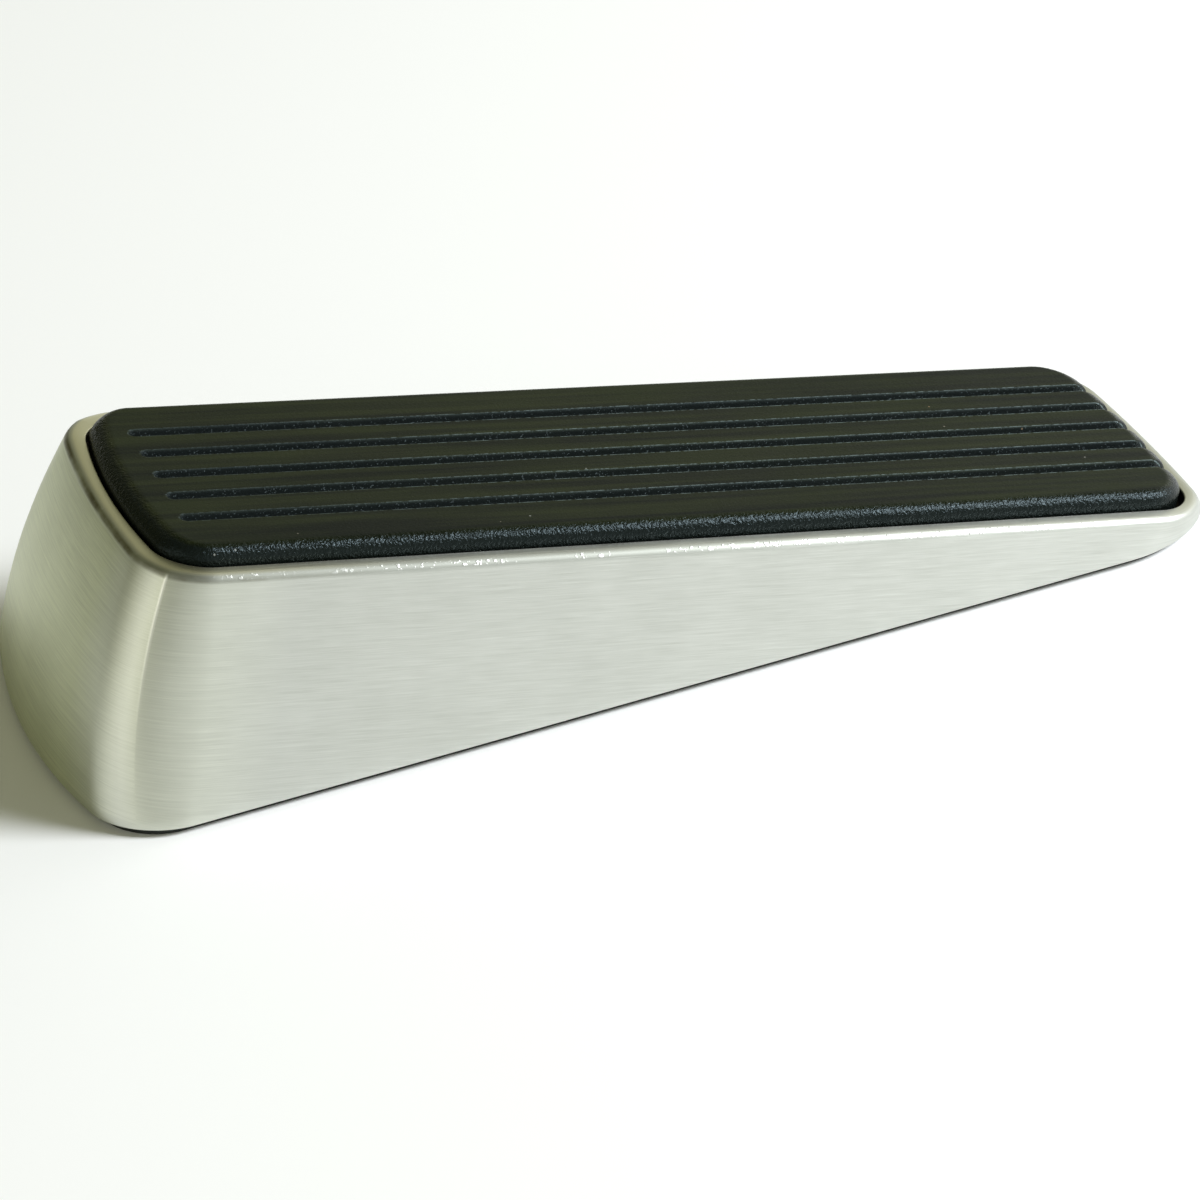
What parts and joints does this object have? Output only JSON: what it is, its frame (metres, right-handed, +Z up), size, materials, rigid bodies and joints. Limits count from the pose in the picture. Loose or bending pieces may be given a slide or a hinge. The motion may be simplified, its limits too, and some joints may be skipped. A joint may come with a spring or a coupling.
{
  "type": "door wedge",
  "caption": "Metal door wedge with a ribbed rubber tread let into its sloped top and a thin rubber sole, which jams under a door to hold it open.",
  "frame": {"origin": "centre of the footprint, on the floor under the sole", "axes": "+X from the tall heel to the thin toe, +Z up, +Y across the wedge"},
  "size_m": [0.127, 0.0474, 0.0268],
  "materials": {
    "shell_nickel": "satin nickel plate on a zinc casting, brushed along the sides and across the heel",
    "tread_rubber": "moulded black rubber with a fine grain and a dull sheen",
    "sole_rubber": "matt black rubber",
    "adhesive_film": "dried adhesive film"
  },
  "bodies": {
    "root": {"housing": "shell_nickel", "tread_pad": "tread_rubber", "tread_adhesive": "adhesive_film", "sole_pad": "sole_rubber", "sole_adhesive": "adhesive_film"}
  },
  "joints": []
}
